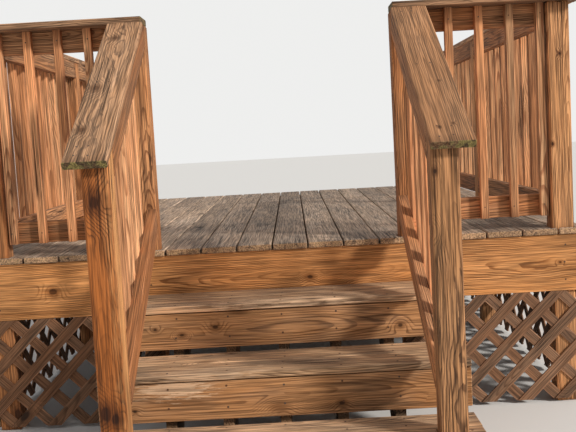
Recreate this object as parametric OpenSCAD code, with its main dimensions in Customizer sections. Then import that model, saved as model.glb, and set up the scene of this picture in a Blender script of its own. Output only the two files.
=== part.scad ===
// Raised wooden deck with a straight flight of stairs, guards and lattice skirts
// Millimetres, +Z up, ground at z = 0, +Y from the flight of stairs towards the ledger board

/* [Stairs] */
// Number of risers from the ground up, the deck's front rim being the top one
riser_count = 4; // [3:1:5]
// Height of one step
rise = 182.5; // [160:0.5:195]
// Depth of one step, from riser face to riser face
run = 296; // [270:1:320]
// Clear width between the stair posts
stair_w = 994; // [860:1:1100]
// Overhang of treads and risers past the outer stringers
tread_end_reach = 26; // [10:1:40]
// Clearance of the lowest tread's notches around the foot posts
foot_tread_clear = 2; // [1:0.5:6]
// Gap between the two boards of a tread
tread_gap = 8; // [4:1:14]
// Overhang of a tread past the riser below it
tread_nose = 5; // [2:1:20]
// Open gap behind a tread, in front of the riser above it
tread_back_gap = 13; // [6:1:20]
// Thickness of a riser board
riser_t = 25; // [19:1:30]
// Open gap under each riser board
riser_gap = 16.5; // [8:0.5:25]
// Depth of the plank that a stringer is cut from
stringer_h = 286; // [270:1:300]
// Number of stringers, the outer ones against the outer faces of the foot posts
stringer_count = 7; // [5:2:7]

/* [Deck] */
// Width of the deck over its boards
deck_w = 2528; // [2300:1:2800]
// Depth of the deck over its boards
deck_d = 3200; // [2900:1:3600]
// Width of a deck board
board_w = 140; // [130:1:145]
// Thickness of deck boards, treads and caps
board_t = 26; // [22:1:30]
// Narrowest ripped deck board at a side of the deck
least_rip_w = 20; // [15:1:40]
// Gap between deck boards
board_gap = 6.5; // [3:0.5:9]
// Position of one gap between deck boards, from the middle of the deck
board_seam_x = -30; // [-60:1:60]
// Overhang of the deck boards past the rims
board_overhang = 12; // [6:1:20]
// Radius of the eased edges of deck boards, treads and caps
board_ease = 5; // [3:0.5:8]
// Thickness of rims, joists, stringers and rails
plank_t = 38; // [35:1:45]
// Height of rims and joists
rim_h = 235; // [200:1:260]
// Spacing of the joists
joist_pitch = 376.5; // [360:0.5:390]
// Number of the joist that carries the cross joint of the boards, from the front
joint_joist = 6; // [5:1:7]
// Gap at the cross joint of the boards
joint_gap = 5; // [2:1:10]

/* [Posts] */
// Side of a square post
post_w = 89; // [80:1:100]
// Radius of a post's eased corners
post_ease = 8; // [4:1:12]
// Distance of the front posts behind the face of the front rim
post_setin = 12; // [8:1:30]
// Distance of the foot posts behind the face of the lowest riser
foot_post_setin = 36; // [28:1:50]
// Clearance of a deck board's notch around a post
notch_clear = 3; // [1:0.5:6]

/* [Guards] */
// Height of the guards over the deck, to the top of the cap
guard_h = 942; // [900:1:1000]
// Height of a rail board
rail_h = 89; // [80:1:95]
// Gap between the deck and the lowest edge of a guard
rail_gap = 50; // [40:1:80]
// Side of a square baluster
baluster_w = 32; // [28:1:38]
// Spacing of the front guard's balusters, before it is fitted to the bay
front_pitch = 122.75; // [110:0.25:130]
// Gap between a post and the first baluster of a front guard
front_end_gap = 8; // [4:1:20]
// Spacing of the side guards' balusters
side_pitch = 129.3; // [110:0.1:135]
// Gap between a post and the first baluster of a side guard
side_end_gap = 74; // [30:1:80]
// Spacing of the stair guards' balusters
stair_pitch = 119.5; // [110:0.5:122]
// Distance of the stair balusters' cut ends inside the rails' outer edges
baluster_trim = 2; // [1:0.5:6]
// Gap between the top post and the first baluster of a stair guard
stair_end_gap = 102; // [60:1:104]
// Width of the caps
cap_w = 140; // [135:1:160]
// Overhang of the side caps and stair caps past the inner faces of the posts
cap_inner_lip = 4; // [2:1:10]
// Distance of the front caps' inner ends behind the inner faces of the stair posts
cap_setback = 3; // [1:1:10]
// Height by which a stair cap laps the front edge of the guard cap above it
cap_lap = 3; // [1:1:8]
// Overhang of a stair cap past its foot post
cap_end_reach = 40; // [20:1:60]

/* [Lattice] */
// Width of a lattice slat
slat_w = 43; // [36:1:50]
// Thickness of a lattice slat
slat_t = 6.5; // [5:0.5:8]
// Spacing of the slats, square to their length
slat_pitch = 108; // [95:0.5:120]
// Outward shift of the slats' crossings from the middle of a panel
slat_shift = 47; // [-60:1:60]
// Height of the lattice's lower edge over the ground
lattice_foot = 15; // [10:1:40]
// Gap between the lattice and the stair, measured from the stair posts' inner faces
lattice_setback = 3; // [1:1:10]
// Depth by which the two layers of slats are let into each other
layer_lap = 1; // [0.5:0.5:2]

/* [Hidden] */
wood_rim = [0.42, 0.27, 0.15];
wood_post = [0.43, 0.27, 0.17];
wood_guard = [0.42, 0.25, 0.16];
wood_cap = [0.36, 0.30, 0.24];
wood_board = [0.38, 0.33, 0.27];
wood_tread = [0.35, 0.28, 0.21];
wood_riser = [0.44, 0.29, 0.16];
wood_lattice = [0.25, 0.18, 0.12];
wood_frame = [0.34, 0.25, 0.17];

// Overrun of a cutting shape past the piece that it cuts
cut_over = 1;

// Stair line
slope = rise / run;
angle = atan(slope);
deck_h = riser_count * rise;
tread_count = riser_count - 1;
tread_depth = run + tread_nose - tread_back_gap;
tread_board_w = (tread_depth - tread_gap) / 2;
riser_h = rise - board_t - riser_gap;

// Heights
board_under = deck_h - board_t;
rim_z = board_under - rim_h;
cap_under = deck_h + guard_h - board_t;
rail_z = deck_h + rail_gap;
top_rail_z = cap_under - rail_h;
baluster_len = cap_under - rail_z;

// Depths, from the front ends of the deck boards
rim_y = board_overhang;
rim_back = rim_y + plank_t;
post_y = rim_y + post_setin;
post_back = post_y + post_w;
ledger_y = deck_d - plank_t;
rear_post_y = ledger_y - post_w;
joist_count = floor((rear_post_y - plank_t - rim_y) / joist_pitch);
mid_post_y = rim_y + round(joist_count / 2) * joist_pitch - post_w;
joint_y = rim_y + joint_joist * joist_pitch + plank_t / 2;
last_riser_y = rim_y - tread_count * run;
foot_post_y = last_riser_y + foot_post_setin;
foot_post_back = foot_post_y + post_w;
guard_rail_y = post_back - plank_t;
cap_front_y = post_back - cap_w;
cap_end_y = foot_post_y - cap_end_reach;
front_y = min(last_riser_y - tread_nose, cap_end_y);
shift_y = -(deck_d + front_y) / 2;

// Widths, from the middle of the deck
half_w = deck_w / 2;
side_rim_x = half_w - board_overhang;
side_x = side_rim_x - plank_t;
side_post_x = side_x - post_w;
stair_x = stair_w / 2;
stair_out_x = stair_x + post_w;
side_cap_x = side_post_x - cap_inner_lip;
stair_cap_x = stair_x - cap_inner_lip;
front_cap_x = stair_x + cap_setback;
tread_w = 2 * (stair_out_x + plank_t + tread_end_reach);
stringer_x = stair_out_x + plank_t / 2;
post_h = cap_under;

// Guards
front_bay = side_post_x - stair_out_x;
front_count = round((front_bay - 2 * front_end_gap - baluster_w) / front_pitch) + 1;
front_step = (front_bay - 2 * front_end_gap - baluster_w) / (front_count - 1);
cap_rise = board_t / cos(angle);
rail_rise = rail_h / cos(angle);
stair_bay = post_y - foot_post_back;
stair_count = floor((stair_bay - stair_end_gap - baluster_w) / stair_pitch) + 1;

// Lattice, under the rims and against the outer faces of the posts
slat_tilt = 45;
lattice_h = rim_z - lattice_foot;
lattice_t = 2 * slat_t - layer_lap;
lattice_y = post_y - lattice_t;
lattice_x = stair_x + lattice_setback;
lattice_out_x = side_x + lattice_t;

// Places of the posts that the deck boards are notched around
post_spots = [
    [side_post_x, post_y], [-side_post_x - post_w, post_y],
    [stair_x, post_y], [-stair_x - post_w, post_y],
    [side_post_x, mid_post_y], [-side_post_x - post_w, mid_post_y],
    [side_post_x, rear_post_y], [-side_post_x - post_w, rear_post_y]
];

// Height of the nosing-parallel lines, at a depth y
function cap_top(y) = cap_under + cap_lap + slope * (y - cap_front_y);
function cap_low(y) = cap_top(y) - cap_rise;
function low_rail(y) = rail_z + slope * y;

// Moves a piece to the frame's middle, on one side or the other
module placed(left = false) {
    translate([0, shift_y, 0])
        mirror([left ? 1 : 0, 0, 0])
            children();
}

// Rectangle with eased corners
module eased(w, h, r) {
    translate([r, 0])
        square([w - 2 * r, h]);
    translate([0, r])
        square([w, h - 2 * r]);
    for (x = [r, w - r])
        for (y = [r, h - r])
            translate([x, y])
                circle(r = r, $fn = 32);
}

// Board with eased long edges, lying along X
module board_x(x, y, z, len, w) {
    translate([x, y, z])
        rotate([90, 0, 90])
            linear_extrude(height = len)
                eased(w, board_t, board_ease);
}

// Board with eased long edges, lying along Y
module board_y(x, y, z, w, len) {
    translate([x + w, y, z])
        rotate([90, 0, 180])
            linear_extrude(height = len)
                eased(w, board_t, board_ease);
}

// Upright post
module post(x, y, h) {
    translate([x, y, 0])
        linear_extrude(height = h)
            eased(post_w, post_w, post_ease);
}

// Front post, notched around the rim
module rim_post(x) {
    difference() {
        post(x, post_y, post_h);
        translate([x - cut_over, post_y - cut_over, rim_z])
            cube([post_w + 2 * cut_over, rim_back - post_y + cut_over, rim_h]);
    }
}

// Foot post, cut on the slope of the stair cap
module foot_post() {
    difference() {
        post(stair_x, foot_post_y, cap_low(foot_post_back));
        translate([stair_x - cut_over, foot_post_y, cap_low(foot_post_y)])
            rotate([angle, 0, 0])
                translate([0, -post_w, 0])
                    cube([post_w + 2 * cut_over, 3 * post_w, post_w]);
    }
}

// Side rim
module side_rim() {
    translate([side_x, rim_back, rim_z])
        cube([plank_t, ledger_y - rim_back, rim_h]);
}

// One deck board, notched around the posts that it meets
module deck_board(x, w, y0, y1) {
    difference() {
        board_y(x, y0, board_under, w, y1 - y0);
        for (p = post_spots)
            if (p[0] < x + w + notch_clear && p[0] + post_w + notch_clear > x && p[1] > y0 && p[1] < y1)
                translate([p[0] - notch_clear, p[1] - notch_clear, board_under - cut_over])
                    cube([post_w + 2 * notch_clear, post_w + 2 * notch_clear, board_t + 2 * cut_over]);
    }
}

// Row of deck boards between two depths, with ripped boards at both sides
module board_row(y0, y1) {
    pitch = board_w + board_gap;
    low = -ceil((half_w + board_seam_x) / pitch);
    high = ceil((half_w - board_seam_x) / pitch) - 1;
    for (k = [low:high]) {
        x0 = max(-half_w, board_seam_x + k * pitch + board_gap / 2);
        x1 = min(half_w, board_seam_x + (k + 1) * pitch - board_gap / 2);
        if (x1 - x0 > least_rip_w)
            deck_board(x0, x1 - x0, y0, y1);
    }
}

// Rails and balusters of a front guard, between its two posts
module front_guard() {
    for (z = [rail_z, top_rail_z])
        translate([stair_out_x, guard_rail_y, z])
            cube([front_bay, plank_t, rail_h]);
    for (k = [0:front_count - 1])
        translate([stair_out_x + front_end_gap + k * front_step, guard_rail_y - baluster_w, rail_z])
            cube([baluster_w, baluster_w, baluster_len]);
}

// Rails and balusters of one bay of a side guard
module side_bay(y0, y1) {
    count = floor((y1 - y0 - side_end_gap - baluster_w) / side_pitch) + 1;
    for (z = [rail_z, top_rail_z])
        translate([side_post_x, y0, z])
            cube([plank_t, y1 - y0, rail_h]);
    for (k = [0:count - 1])
        translate([side_post_x + plank_t, y0 + side_end_gap + k * side_pitch, rail_z])
            cube([baluster_w, baluster_w, baluster_len]);
}

// Both bays of a side guard
module side_guard() {
    side_bay(post_back, mid_post_y);
    side_bay(mid_post_y + post_w, rear_post_y);
}

// Upright plate in the plane of the slope, from points given as depth and height
module side_plate(x, t, points) {
    translate([x, 0, 0])
        rotate([90, 0, 90])
            linear_extrude(height = t)
                polygon(points);
}

// Rails and balusters of a stair guard, between the top post and the foot post
module stair_guard() {
    a = foot_post_back;
    b = post_y;
    level_y = cap_front_y + (cap_rise - cap_lap) / slope;
    c = min(b, level_y);
    side_plate(stair_x, plank_t, [
        [a, cap_low(a) - rail_rise],
        [b, cap_low(b) - rail_rise],
        [b, cap_low(c)],
        [c, cap_low(c)],
        [a, cap_low(a)]
    ]);
    side_plate(stair_x, plank_t, [
        [a, low_rail(a)],
        [b, low_rail(b)],
        [b, low_rail(b) + rail_rise],
        [a, low_rail(a) + rail_rise]
    ]);
    for (k = [0:stair_count - 1]) {
        y1 = post_y - stair_end_gap - k * stair_pitch;
        y0 = y1 - baluster_w;
        side_plate(stair_x + plank_t, baluster_w, [
            [y0, low_rail(y0) + baluster_trim],
            [y1, low_rail(y1) + baluster_trim],
            [y1, cap_low(y1) - baluster_trim],
            [y0, cap_low(y0) - baluster_trim]
        ]);
    }
}

// Sloping cap, cut plumb at its upper end and square at its foot
module stair_cap() {
    len = (cap_front_y - cap_end_y) / cos(angle) + board_t;
    difference() {
        translate([stair_cap_x, cap_end_y, cap_top(cap_end_y)])
            rotate([angle, 0, 0])
                board_y(0, 0, -board_t, cap_w, len);
        translate([stair_cap_x - cut_over, cap_front_y, cap_low(cap_front_y) - cap_w])
            cube([cap_w + 2 * cut_over, cap_w, 3 * cap_w]);
    }
}

// One stringer, with its middle at x
module stringer(x) {
    foot_y = last_riser_y + riser_t;
    lift = stringer_h / cos(angle);
    seat = rise - board_t;
    cuts = [
        for (k = [1:tread_count])
            for (e = [0, 1])
                [e == 1 && k == tread_count ? rim_y : foot_y + (k - 1 + e) * run, k * rise - board_t]
    ];
    low_edge = [
        [rim_y, seat + slope * (rim_y - foot_y) - lift],
        [foot_y + (lift - seat) / slope, 0],
        [foot_y, 0]
    ];
    side_plate(x - plank_t / 2, plank_t, concat(cuts, low_edge));
}

// Two boards of a tread, counted from the deck down
module tread(n) {
    y = rim_y - n * run - tread_nose;
    z = deck_h - n * rise - board_t;
    board_x(-tread_w / 2, y, z, tread_w, tread_board_w);
    board_x(-tread_w / 2, y + tread_board_w + tread_gap, z, tread_w, tread_board_w);
}

// Room for a foot post in the front board of the lowest tread
module foot_notch() {
    back_y = rim_y - tread_count * run - tread_nose + tread_board_w + tread_gap / 2;
    translate([stair_x - foot_tread_clear, foot_post_y - foot_tread_clear, 0])
        cube([post_w + 2 * foot_tread_clear, back_y - foot_post_y + foot_tread_clear, rise + board_t]);
}

// Riser board under a tread
module riser(n) {
    translate([-tread_w / 2, rim_y - n * run, deck_h - n * rise - board_t - riser_h])
        cube([tread_w, riser_t, riser_h]);
}

// Upright lattice panel in the XZ plane, with its lower corner at the origin and its front slats at a tilt
module lattice(w, tilt) {
    side = w + lattice_h;
    count = ceil(side / slat_pitch);
    for (layer = [0, 1])
        intersection() {
            translate([0, layer * (slat_t - layer_lap), 0])
                cube([w, slat_t, lattice_h]);
            for (k = [-count:count])
                translate([w / 2 + slat_shift, layer * (slat_t - layer_lap) - cut_over, lattice_h / 2])
                    rotate([0, layer == 0 ? tilt : -tilt, 0])
                        translate([k * slat_pitch - slat_w / 2, 0, -side])
                            cube([slat_w, slat_t + 2 * cut_over, 2 * side]);
        }
}

// Framing
module front_rim() {
    color(wood_rim)
        placed()
            translate([-side_rim_x, rim_y, rim_z])
                cube([2 * side_rim_x, plank_t, rim_h]);
}

module left_rim() {
    color(wood_rim)
        placed(true)
            side_rim();
}

module right_rim() {
    color(wood_rim)
        placed()
            side_rim();
}

module ledger_board() {
    color(wood_frame)
        placed()
            translate([-side_rim_x, ledger_y, rim_z])
                cube([2 * side_rim_x, plank_t, rim_h]);
}

module floor_joists() {
    color(wood_frame)
        placed()
            for (k = [1:joist_count])
                translate([-side_x, rim_y + k * joist_pitch, rim_z])
                    cube([2 * side_x, plank_t, rim_h]);
}

// Decking
module deck_boards_front() {
    color(wood_board)
        placed()
            board_row(0, joint_y - joint_gap / 2);
}

module deck_boards_rear() {
    color(wood_board)
        placed()
            board_row(joint_y + joint_gap / 2, deck_d);
}

// Posts
module left_corner_post() {
    color(wood_post)
        placed(true)
            rim_post(side_post_x);
}

module right_corner_post() {
    color(wood_post)
        placed()
            rim_post(side_post_x);
}

module left_stair_top_post() {
    color(wood_post)
        placed(true)
            rim_post(stair_x);
}

module right_stair_top_post() {
    color(wood_post)
        placed()
            rim_post(stair_x);
}

module left_mid_post() {
    color(wood_post)
        placed(true)
            post(side_post_x, mid_post_y, post_h);
}

module right_mid_post() {
    color(wood_post)
        placed()
            post(side_post_x, mid_post_y, post_h);
}

module left_rear_post() {
    color(wood_post)
        placed(true)
            post(side_post_x, rear_post_y, post_h);
}

module right_rear_post() {
    color(wood_post)
        placed()
            post(side_post_x, rear_post_y, post_h);
}

module left_foot_post() {
    color(wood_post)
        placed(true)
            foot_post();
}

module right_foot_post() {
    color(wood_post)
        placed()
            foot_post();
}

// Guards
module left_front_guard() {
    color(wood_guard)
        placed(true)
            front_guard();
}

module right_front_guard() {
    color(wood_guard)
        placed()
            front_guard();
}

module left_side_guard() {
    color(wood_guard)
        placed(true)
            side_guard();
}

module right_side_guard() {
    color(wood_guard)
        placed()
            side_guard();
}

module left_stair_guard() {
    color(wood_guard)
        placed(true)
            stair_guard();
}

module right_stair_guard() {
    color(wood_guard)
        placed()
            stair_guard();
}

// Caps
module front_cap() {
    board_x(front_cap_x, cap_front_y, cap_under, side_cap_x + cap_w - front_cap_x, cap_w);
}

module side_cap() {
    board_y(side_cap_x, post_back, cap_under, cap_w, deck_d - post_back);
}

module left_front_cap() {
    color(wood_cap)
        placed(true)
            front_cap();
}

module right_front_cap() {
    color(wood_cap)
        placed()
            front_cap();
}

module left_side_cap() {
    color(wood_cap)
        placed(true)
            side_cap();
}

module right_side_cap() {
    color(wood_cap)
        placed()
            side_cap();
}

module left_stair_cap() {
    color(wood_cap)
        placed(true)
            stair_cap();
}

module right_stair_cap() {
    color(wood_cap)
        placed()
            stair_cap();
}

// Flight
module stair_stringers() {
    color(wood_frame)
        placed()
            for (k = [0:stringer_count - 1])
                stringer(stringer_x * (2 * k / (stringer_count - 1) - 1));
}

module tread_1() {
    color(wood_tread)
        placed()
            tread(1);
}

module tread_2() {
    color(wood_tread)
        placed()
            tread(2);
}

module tread_3() {
    color(wood_tread)
        placed()
            difference() {
                tread(tread_count);
                foot_notch();
                mirror([1, 0, 0])
                    foot_notch();
            }
}

module riser_2() {
    color(wood_riser)
        placed()
            riser(1);
}

module riser_3() {
    color(wood_riser)
        placed()
            riser(2);
}

module riser_4() {
    color(wood_riser)
        placed()
            riser(3);
}

// Lattice skirts
module front_lattice(tilt) {
    translate([lattice_x, lattice_y, lattice_foot])
        lattice(lattice_out_x - lattice_x, tilt);
}

module side_lattice() {
    translate([lattice_out_x, post_y, lattice_foot])
        rotate([0, 0, 90])
            lattice(ledger_y - post_y, slat_tilt);
}

module left_front_lattice() {
    color(wood_lattice)
        placed(true)
            front_lattice(-slat_tilt);
}

module right_front_lattice() {
    color(wood_lattice)
        placed()
            front_lattice(slat_tilt);
}

module left_side_lattice() {
    color(wood_lattice)
        placed(true)
            side_lattice();
}

module right_side_lattice() {
    color(wood_lattice)
        placed()
            side_lattice();
}

front_rim();
left_rim();
right_rim();
ledger_board();
floor_joists();
deck_boards_front();
deck_boards_rear();
left_corner_post();
right_corner_post();
left_stair_top_post();
right_stair_top_post();
left_mid_post();
right_mid_post();
left_rear_post();
right_rear_post();
left_foot_post();
right_foot_post();
left_front_guard();
right_front_guard();
left_side_guard();
right_side_guard();
left_stair_guard();
right_stair_guard();
left_front_cap();
right_front_cap();
left_side_cap();
right_side_cap();
left_stair_cap();
right_stair_cap();
stair_stringers();
tread_1();
tread_2();
tread_3();
riser_2();
riser_3();
riser_4();
left_front_lattice();
right_front_lattice();
left_side_lattice();
right_side_lattice();
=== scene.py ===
import logging
import math
import random
from dataclasses import dataclass, field, replace
from enum import Enum
from typing import NamedTuple

import bmesh
import bpy
from mathutils import Matrix, Vector

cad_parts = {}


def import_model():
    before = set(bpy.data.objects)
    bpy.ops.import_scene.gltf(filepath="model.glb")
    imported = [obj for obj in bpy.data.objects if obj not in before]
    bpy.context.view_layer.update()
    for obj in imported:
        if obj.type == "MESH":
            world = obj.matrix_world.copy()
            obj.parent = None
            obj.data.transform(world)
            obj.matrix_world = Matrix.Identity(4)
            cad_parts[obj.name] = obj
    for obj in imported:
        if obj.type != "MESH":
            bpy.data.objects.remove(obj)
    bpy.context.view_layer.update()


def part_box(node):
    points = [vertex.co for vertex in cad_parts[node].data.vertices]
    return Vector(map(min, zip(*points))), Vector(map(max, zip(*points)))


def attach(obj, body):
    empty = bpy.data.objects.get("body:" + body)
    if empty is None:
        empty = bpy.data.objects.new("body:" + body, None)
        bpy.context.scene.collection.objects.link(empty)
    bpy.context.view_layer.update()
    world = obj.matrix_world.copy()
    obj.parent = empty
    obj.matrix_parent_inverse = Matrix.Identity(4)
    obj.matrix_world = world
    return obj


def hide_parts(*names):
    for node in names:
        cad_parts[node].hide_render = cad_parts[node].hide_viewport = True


LOG = logging.getLogger("wooden_deck_stairs")

Triple = tuple[float, float, float]
Colour = Triple
Mark = tuple[float, ...]
Faces = tuple[float, float]
Loop = list[tuple[float, float]]
Box = tuple[Vector, Vector]
Bay = tuple[float, float, list[float]]
Inputs = dict[int | str, object]

# Sawn sizes shared by the assemblies, in metres
PLANK_T = 0.038
RAIL_H = 0.089
BALUSTER_W = 0.032
BOARD_T = 0.026
JOIST_PITCH = 0.3765

UP = Vector((0.0, 0.0, 1.0))
FORWARD = Vector((0.0, -1.0, 0.0))


class Side(Enum):
    """The two sides of the deck, as seen by a person who climbs the stairs."""

    LEFT = -1
    RIGHT = 1

    @property
    def out(self) -> Vector:
        """The outward direction of this side."""
        return Vector((self.value, 0.0, 0.0))

    def name_of(self, piece: str) -> str:
        """Returns the frame's node name of a piece on this side."""
        return f"{self.name.lower()}_{piece}"

    def box(self, piece: str) -> Box:
        """Returns the frame's box of a piece on this side."""
        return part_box(self.name_of(piece))


class Run(Enum):
    """The direction in which a square-set timber's grain runs."""

    ACROSS = 0
    DEEP = 1
    UP = 2


@dataclass
class Wire:
    """An output of a shader node. A sum that is written with wires adds the Math nodes for it."""

    sketch: "Sketch"
    socket: bpy.types.NodeSocket

    def __add__(self, other: "Wire | float") -> "Wire":
        """Returns the sum."""
        return self.sketch.math("ADD", self, other)

    def __sub__(self, other: "Wire | float") -> "Wire":
        """Returns the difference."""
        return self.sketch.math("SUBTRACT", self, other)

    def __mul__(self, other: "Wire | float") -> "Wire":
        """Returns the product."""
        return self.sketch.math("MULTIPLY", self, other)

    def __truediv__(self, other: "Wire | float") -> "Wire":
        """Returns the quotient."""
        return self.sketch.math("DIVIDE", self, other)

    def __abs__(self) -> "Wire":
        """Returns the value without its sign."""
        return self.sketch.math("ABSOLUTE", self)

    def clamped(self) -> "Wire":
        """Keeps the result of the last sum within 0 and 1."""
        self.socket.node.use_clamp = True
        return self


class Sketch:
    """Lays out the nodes of one material or world."""

    def __init__(self, owner: bpy.types.ID) -> None:
        """Takes over the owner's node tree.

        Args:
            owner: The material or world whose tree is filled.
        """
        owner.use_nodes = True
        self.tree = owner.node_tree
        self.tree.nodes.clear()

    def node(self, kind: str, inputs: Inputs, **settings: object) -> bpy.types.ShaderNode:
        """Adds a node.

        Args:
            kind: The node's class name.
            inputs: What goes into its inputs. A wire is linked, and a constant is set on the socket.
            **settings: Properties of the node.

        Returns:
            The new node.
        """
        made = self.tree.nodes.new(kind)
        for key, value in settings.items():
            setattr(made, key, value)
        for key, value in inputs.items():
            if isinstance(value, Wire):
                self.tree.links.new(value.socket, made.inputs[key])
            else:
                made.inputs[key].default_value = value
        return made

    def wire(self, kind: str, inputs: Inputs, output: int | str = 0, **settings: object) -> Wire:
        """Adds a node and returns one of its outputs.

        Args:
            kind: The node's class name.
            inputs: What goes into its inputs.
            output: Number or name of the output.
            **settings: Properties of the node.

        Returns:
            The output.
        """
        return Wire(self, self.node(kind, inputs, **settings).outputs[output])

    def math(self, operation: str, a: Wire, b: Wire | float = 0.0) -> Wire:
        """Returns the result of a Math node."""
        return self.wire("ShaderNodeMath", {0: a, 1: b}, operation=operation)

    def vector(self, operation: str, a: Wire, b: Wire | Triple) -> Wire:
        """Returns the result of a Vector Math node."""
        return self.wire("ShaderNodeVectorMath", {0: a, 1: b}, operation=operation)

    def scaled(self, vector: Wire, factor: Wire | float) -> Wire:
        """Returns a vector or a colour times a factor."""
        return self.wire("ShaderNodeVectorMath", {0: vector, "Scale": factor}, operation="SCALE")

    def length(self, vector: Wire) -> Wire:
        """Returns the length of a vector."""
        return self.wire("ShaderNodeVectorMath", {0: vector}, "Value", operation="LENGTH")

    def split(self, vector: Wire) -> list[Wire]:
        """Returns the three parts of a vector or a colour."""
        return [Wire(self, socket) for socket in self.node("ShaderNodeSeparateXYZ", {0: vector}).outputs]

    def attribute(self, name: str) -> Wire:
        """Returns the vector of a mesh attribute."""
        return self.wire("ShaderNodeAttribute", {}, "Vector", attribute_name=name)

    def fade(self, value: Wire, start: float, end: float, low: float = 0.0, high: float = 1.0) -> Wire:
        """Turns a value smoothly from low at start to high at end.

        Args:
            value: The value to remap.
            start: Input at which the result is low.
            end: Input at which the result is high.
            low: Result at and before start.
            high: Result at and past end.

        Returns:
            The remapped value.
        """
        inputs = {"Value": value, "From Min": start, "From Max": end, "To Min": low, "To Max": high}
        return self.wire("ShaderNodeMapRange", inputs, interpolation_type="SMOOTHSTEP")

    def mix(self, amount: Wire, first: Wire | Colour, second: Wire | Colour) -> Wire:
        """Mixes two colours.

        Args:
            amount: Share of the second colour.
            first: First colour.
            second: Second colour.

        Returns:
            The mixed colour.
        """
        a, b = (value if isinstance(value, Wire) else (*value, 1.0) for value in (first, second))
        return self.wire("ShaderNodeMix", {"Factor": amount, 6: a, 7: b}, 2, data_type="RGBA")

    def surface(self, inputs: Inputs) -> None:
        """Gives the material its surface.

        Args:
            inputs: What goes into the surface's shader.
        """
        shader = self.wire("ShaderNodeBsdfPrincipled", inputs)
        self.node("ShaderNodeOutputMaterial", {"Surface": shader})


class Pattern(NamedTuple):
    """A noise that is stretched along the grain, in repeats per metre along and across it."""

    along: float
    across: float
    detail: float = 2.0
    rough: float = 0.5
    shift: Triple | None = None


# Patterns of the growth rings and the knots
SWAY = Pattern(0.9, 0.0, 1.0)
DIP = Pattern(0.7, 0.0, 1.0, shift=(7.3, 1.9, 4.1))
WAVER = Pattern(3.0, 10.0, 3.0)
RIPPLE = Pattern(9.0, 26.0, 3.0)
FAINTNESS = Pattern(2.2, 14.0, 3.0)
KNOT_CELLS = Pattern(4.2, 8.0)
KNOT_EDGE = Pattern(20.0, 26.0, 3.0)

# Patterns of the wood's colour
FIBRE = Pattern(6.0, 210.0)
STREAK = Pattern(1.6, 75.0, 4.0, 0.65)
BLOTCH = Pattern(1.6, 6.0)
PATCH = Pattern(1.1, 4.5)

# Patterns of the wear, and of the painted highlights on the long edges and the marked patches
CRACK_LINE = Pattern(0.6, 75.0)
CRACK_PLACE = Pattern(2.1, 9.0, 1.0)
RUB_AND_HIGHLIGHT = Pattern(4.0, 14.0)
GREYING = Pattern(2.4, 9.0, 4.0, 0.6)
FRAY = Pattern(14.0, 90.0, 4.0, 0.65)
GRIT = Pattern(60.0, 60.0, 3.0)

# Colours that all boards share
SAWN: Colour = (0.56, 0.33, 0.18)
MOSS_DARK: Colour = (0.045, 0.036, 0.016)
MOSS_PALE: Colour = (0.185, 0.145, 0.048)


class BoardSketch(Sketch):
    """Lays out a wood material, with places on a board read from the attributes that each board carries."""

    seed_spread = 43.0

    def __init__(self, owner: bpy.types.Material) -> None:
        """Reads the attributes.

        Args:
            owner: The material.
        """
        super().__init__(owner)
        self.grain = self.attribute("grain")
        chance = self.attribute("chance")
        self.luck = self.split(chance)
        self.seed = self.scaled(chance, self.seed_spread)
        self.places = self.split(self.grain)
        reaches = self.split(self.attribute("half"))
        self.end_gap, *sides = (reach - abs(place) for reach, place in zip(reaches, self.places))
        self.edge_gap = self.math("MAXIMUM", *sides)

    def at(self, pattern: Pattern) -> Wire:
        """Returns the board's own place in a pattern.

        Args:
            pattern: The pattern.

        Returns:
            The place.
        """
        stretched = self.vector("MULTIPLY", self.grain, (pattern.along, pattern.across, pattern.across))
        place = self.vector("ADD", stretched, self.seed)
        return self.vector("ADD", place, pattern.shift) if pattern.shift else place

    def noise(self, pattern: Pattern) -> Wire:
        """Returns a pattern's noise, with values of about 0.25 to 0.75."""
        inputs = {"Scale": 1.0, "Detail": pattern.detail, "Roughness": pattern.rough}
        return self.wire("ShaderNodeTexNoise", {"Vector": self.at(pattern), **inputs})

    def swing(self, pattern: Pattern, width: float) -> Wire:
        """Returns a pattern's noise, centred on 0 and as wide as given."""
        return (self.noise(pattern) - 0.5) * width


@dataclass(frozen=True)
class Finish:
    """A material that is made on its first use."""

    name: str

    def material(self) -> bpy.types.Material:
        """Finds the finish's material, or draws it at the first call.

        Returns:
            The material.
        """
        found = bpy.data.materials.get(self.name)
        if not found:
            found = bpy.data.materials.new(self.name)
            self._draw(found)
        return found

    def _draw(self, material: bpy.types.Material) -> None:
        """Lays out the new material's nodes."""
        raise NotImplementedError


@dataclass(frozen=True)
class NailFinish(Finish):
    """Dull, rust-stained heads of galvanised nails."""

    name: str = "nail_head"
    colour: Colour = (0.09, 0.065, 0.05)
    rust: Colour = (0.12, 0.05, 0.02)
    spots_per_metre: float = 90.0

    def _draw(self, material: bpy.types.Material) -> None:
        """Lays out the new material's nodes.

        Args:
            material: The material.
        """
        s = Sketch(material)
        place = s.wire("ShaderNodeTexCoord", {}, "Object")
        spots = s.wire("ShaderNodeTexNoise", {"Vector": place, "Scale": self.spots_per_metre, "Detail": 2.0})
        colour = s.mix(s.fade(spots, 0.42, 0.6), self.colour, self.rust)
        s.surface({"Base Color": colour, "Metallic": 0.35, "Roughness": 0.6})


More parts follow.
